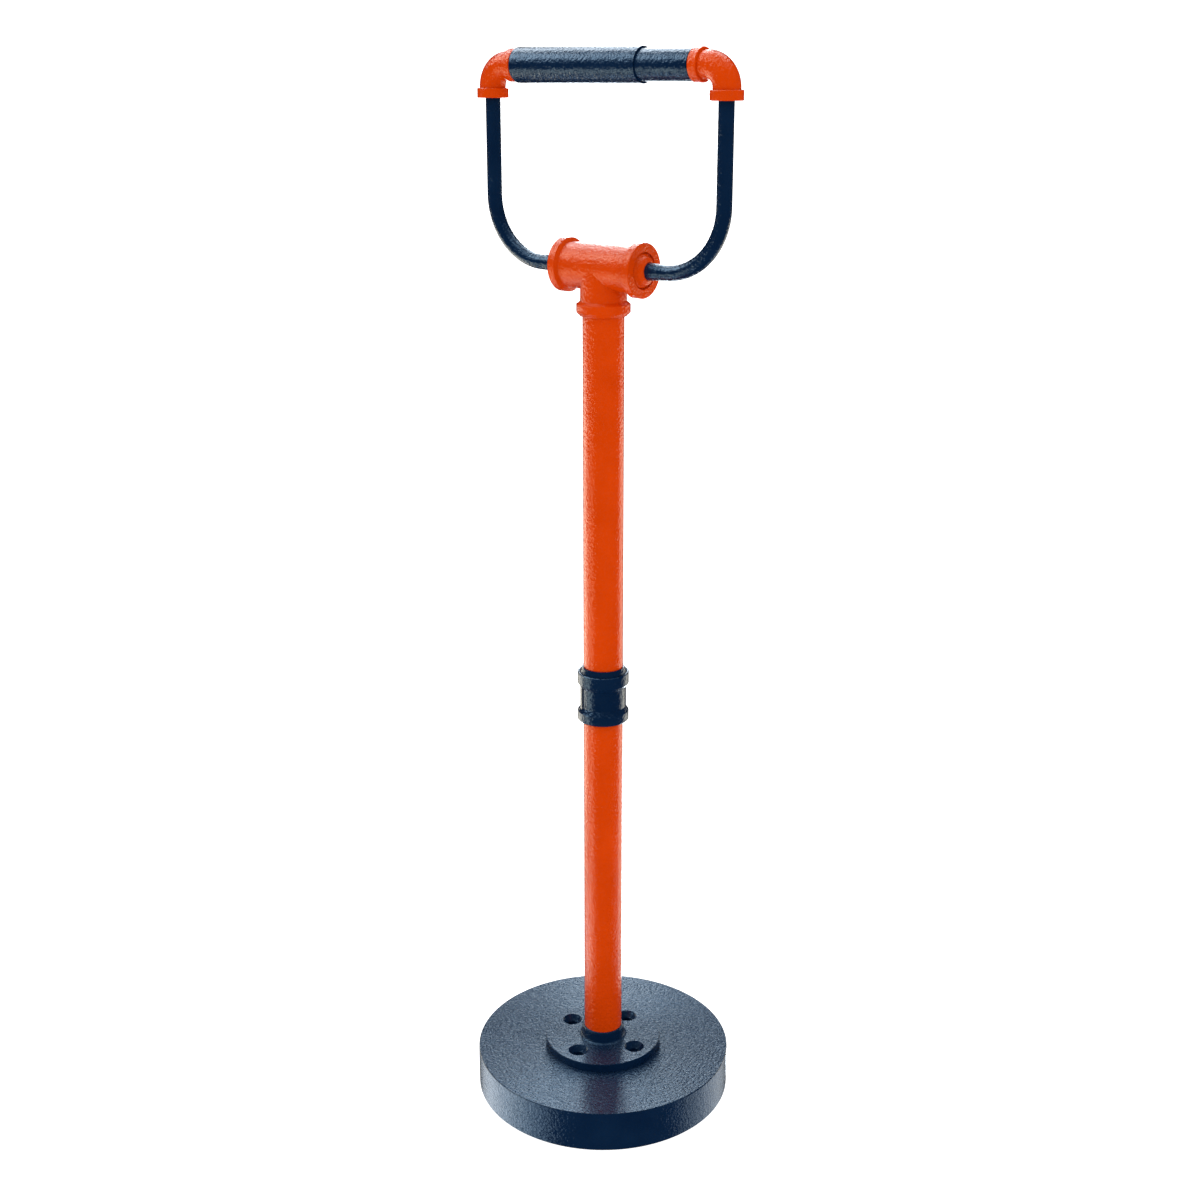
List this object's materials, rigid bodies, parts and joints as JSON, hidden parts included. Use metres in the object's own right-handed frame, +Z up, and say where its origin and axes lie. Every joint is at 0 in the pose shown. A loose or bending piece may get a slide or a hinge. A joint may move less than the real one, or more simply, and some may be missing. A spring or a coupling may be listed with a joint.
{
  "type": "tissue roll stand",
  "caption": "Free-standing tissue roll holder of pipe fittings: heavy round base, coupled upright pipe, tee with two bent arms, and a sprung telescoping roller between elbows.",
  "frame": {"origin": "on the floor, at the middle of the round base", "axes": "+Z up along the pipe, +X along the roller towards its thinner sleeve, front facing -Y"},
  "size_m": [0.2, 0.18, 0.7164],
  "materials": {
    "orange_coat": "fine-grained orange powder coat, satin",
    "navy_coat": "fine-grained dark navy powder coat, satin",
    "pad_rubber": "matt black foam rubber",
    "zinc_steel": "zinc-plated turned steel",
    "spring_steel": "drawn spring wire, lightly oiled"
  },
  "bodies": {
    "stand": {"base_pad": "pad_rubber", "base_disc": "navy_coat", "base_washer": "zinc_steel", "base_bolt": "zinc_steel", "pipe_plug": "zinc_steel", "floor_flange": "navy_coat", "lower_pipe": "orange_coat", "pipe_coupling": "navy_coat", "upper_pipe": "orange_coat", "pipe_tee": "orange_coat", "left_bushing": "orange_coat", "right_bushing": "orange_coat", "left_arm": "navy_coat", "right_arm": "navy_coat", "left_elbow": "orange_coat", "right_elbow": "orange_coat"},
    "roller_outer": {"outer_sleeve": "navy_coat", "outer_end_plug": "zinc_steel", "roller_spring": "spring_steel"},
    "roller_inner": {"inner_sleeve": "navy_coat", "inner_end_plug": "zinc_steel"}
  },
  "joints": [
    {"name": "roller_spin", "type": "hinge", "parent": "stand", "child": "roller_outer", "pos_m": [0, 0, 0.7056], "axis": [1, 0, 0], "continuous": true},
    {"name": "roller_telescope", "type": "slide", "parent": "roller_outer", "child": "roller_inner", "axis": [-1, 0, 0], "range_m": [0, 0.012], "stiffness_N_per_m": 400, "springref_m": -0.012, "deforming": ["roller_spring"]}
  ]
}
